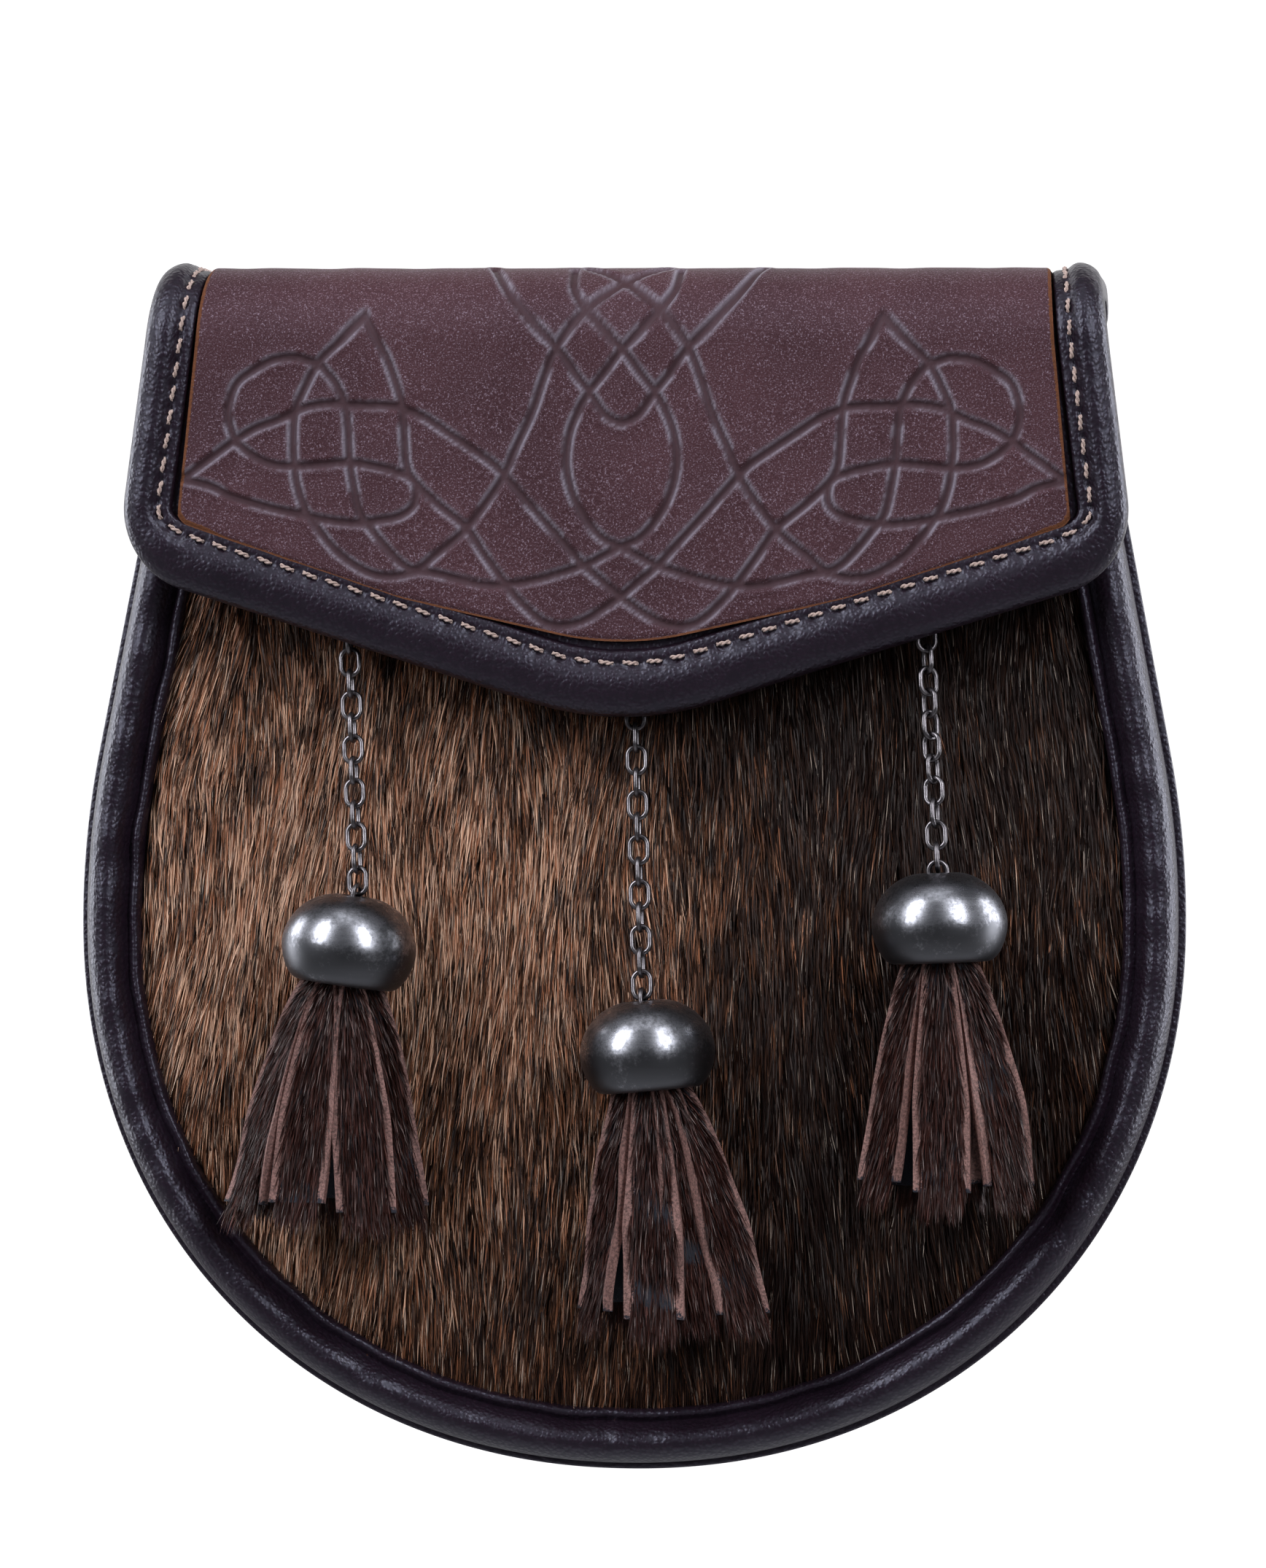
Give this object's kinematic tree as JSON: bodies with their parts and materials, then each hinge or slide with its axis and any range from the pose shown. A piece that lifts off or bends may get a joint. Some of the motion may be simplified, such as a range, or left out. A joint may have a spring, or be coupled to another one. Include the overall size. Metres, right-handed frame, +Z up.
{
  "type": "sporran pouch",
  "caption": "Leather pouch with a fur front, padded rim, folded flap with an overlaid panel, belt loops, and capped tassels on chains.",
  "frame": {"origin": "middle of the belt line: halfway between the two belt loops, in the middle of their slots' height and depth", "axes": "+Z up, +X to the right of someone who looks at the fur front, -Y out of the fur front, +Y towards the wearer"},
  "size_m": [0.1868, 0.0647, 0.2027],
  "materials": {
    "body_leather": "dark pebbled leather, satin",
    "panel_leather": "purple-brown leather with pressed interlace lines and a raw tan edge",
    "fur": "short straight brown fur that lies downwards",
    "tassel_fur": "dark brown fur on strips of hide with pale cut edges",
    "metal": "antique nickel with dark patina and fine scratches"
  },
  "bodies": {
    "root": {"back_panel": "body_leather", "gusset": "body_leather", "front_rim": "body_leather", "flap": "body_leather", "belt_loop_left": "body_leather", "belt_loop_right": "body_leather", "flap_panel": "panel_leather", "fur_front": "fur", "snap_closure": "metal", "chain_staple_left": "metal", "chain_staple_centre": "metal", "chain_staple_right": "metal", "chain_left": "metal", "chain_centre": "metal", "chain_right": "metal", "tassel_cap_left": "metal", "tassel_cap_centre": "metal", "tassel_cap_right": "metal", "tassel_left": "tassel_fur", "tassel_centre": "tassel_fur", "tassel_right": "tassel_fur"}
  },
  "joints": []
}
